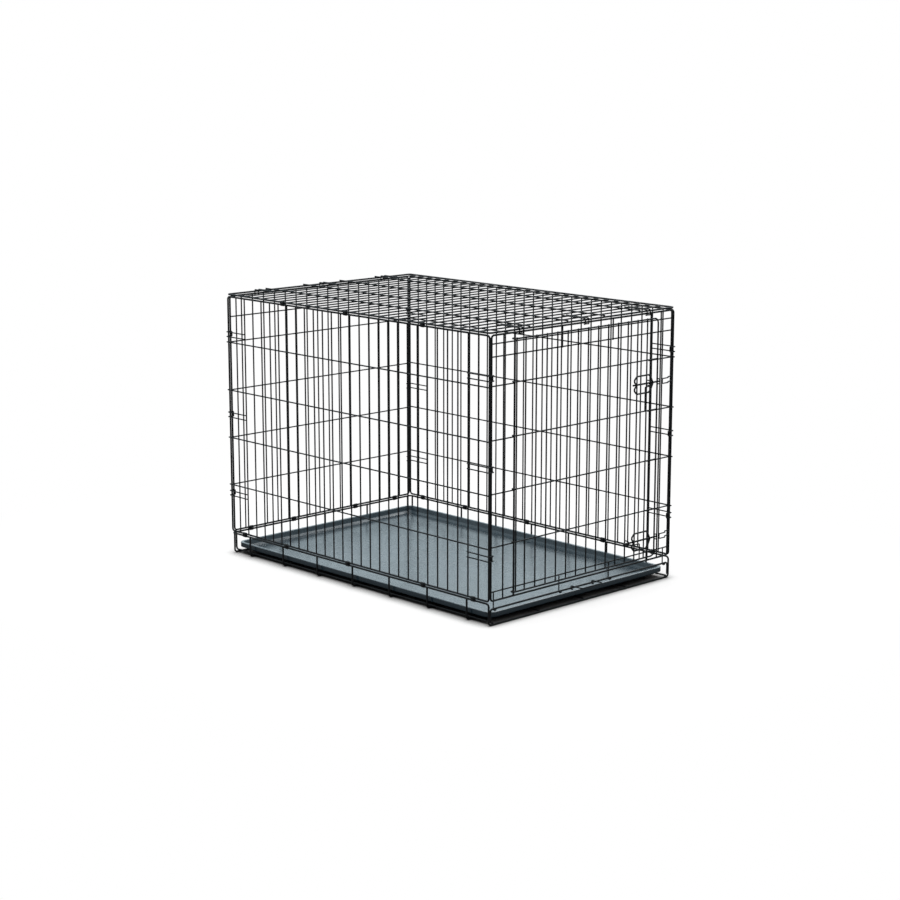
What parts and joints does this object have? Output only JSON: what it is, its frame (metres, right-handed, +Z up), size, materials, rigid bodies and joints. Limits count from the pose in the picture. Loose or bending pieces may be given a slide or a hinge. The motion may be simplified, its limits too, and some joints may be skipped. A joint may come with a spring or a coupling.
{
  "type": "dog crate",
  "caption": "Folding wire dog crate: a black welded-wire box with an end door on slide-bolt latches, end panels that fold in, and a plastic pan that pulls out under a swinging stop.",
  "frame": {"origin": "on the floor, under the middle of the crate's outline", "axes": "+X across the width, +Y along the length away from the door end, +Z up"},
  "size_m": [0.7184, 1.1062, 0.7657],
  "materials": {
    "wire": "satin black electro-coat over steel wire",
    "clip": "satin black coat over steel sheet",
    "pan": "blue-black grained plastic"
  },
  "bodies": {
    "crate": {"base_cross_wires": "wire", "base_front_rail": "wire", "base_long_wires": "wire", "base_rim": "wire", "left_base_clips": "clip", "left_corner_hooks": "wire", "left_side_bars": "wire", "left_side_frame": "wire", "left_side_rails": "wire", "rear_base_clips": "clip", "right_base_clips": "clip", "right_corner_hooks": "wire", "right_side_bars": "wire", "right_side_frame": "wire", "right_side_rails": "wire", "top_cross_bars": "wire", "top_end_hooks": "wire", "top_frame": "wire", "top_hinge_clips": "clip", "top_long_wires": "wire"},
    "front_end": {"front_end_frame": "wire", "front_door_posts": "wire", "front_end_bars": "wire", "front_end_rails": "wire", "front_hinge_hooks": "wire", "upper_latch_keeper": "wire", "lower_latch_keeper": "wire"},
    "rear_end": {"rear_end_frame": "wire", "rear_end_bars": "wire", "rear_end_rails": "wire"},
    "door": {"door_frame": "wire", "door_rails": "wire", "door_bars": "wire", "upper_latch_guides": "wire", "lower_latch_guides": "wire"},
    "upper_latch": {"upper_latch_bolt": "wire", "upper_latch_handle": "wire"},
    "lower_latch": {"lower_latch_bolt": "wire", "lower_latch_handle": "wire"},
    "pan": {"pan": "pan"},
    "pan_stop": {"pan_stop": "wire"}
  },
  "joints": [
    {"name": "front_end_fold", "type": "hinge", "parent": "crate", "child": "front_end", "pos_m": [0, -0.51545, 0.044], "axis": [1, 0, 0], "range_deg": [-90, 0]},
    {"name": "rear_end_fold", "type": "hinge", "parent": "crate", "child": "rear_end", "pos_m": [0, 0.5468, 0.0655], "axis": [-1, 0, 0], "range_deg": [-86, 0]},
    {"name": "door_swing", "type": "hinge", "parent": "front_end", "child": "door", "pos_m": [-0.26305, -0.515, 0.4], "axis": [0, 0, -1], "range_deg": [0, 165]},
    {"name": "upper_latch_slide", "type": "slide", "parent": "door", "child": "upper_latch", "axis": [-1, 0, 0], "range_m": [-0.024, 0]},
    {"name": "lower_latch_slide", "type": "slide", "parent": "door", "child": "lower_latch", "axis": [-1, 0, 0], "range_m": [-0.024, 0]},
    {"name": "pan_slide", "type": "slide", "parent": "crate", "child": "pan", "axis": [0, -1, 0], "range_m": [0, 0.95]},
    {"name": "pan_stop_swing", "type": "hinge", "parent": "crate", "child": "pan_stop", "pos_m": [0, -0.51545, 0.044], "axis": [-1, 0, 0], "range_deg": [-90, 20]}
  ]
}
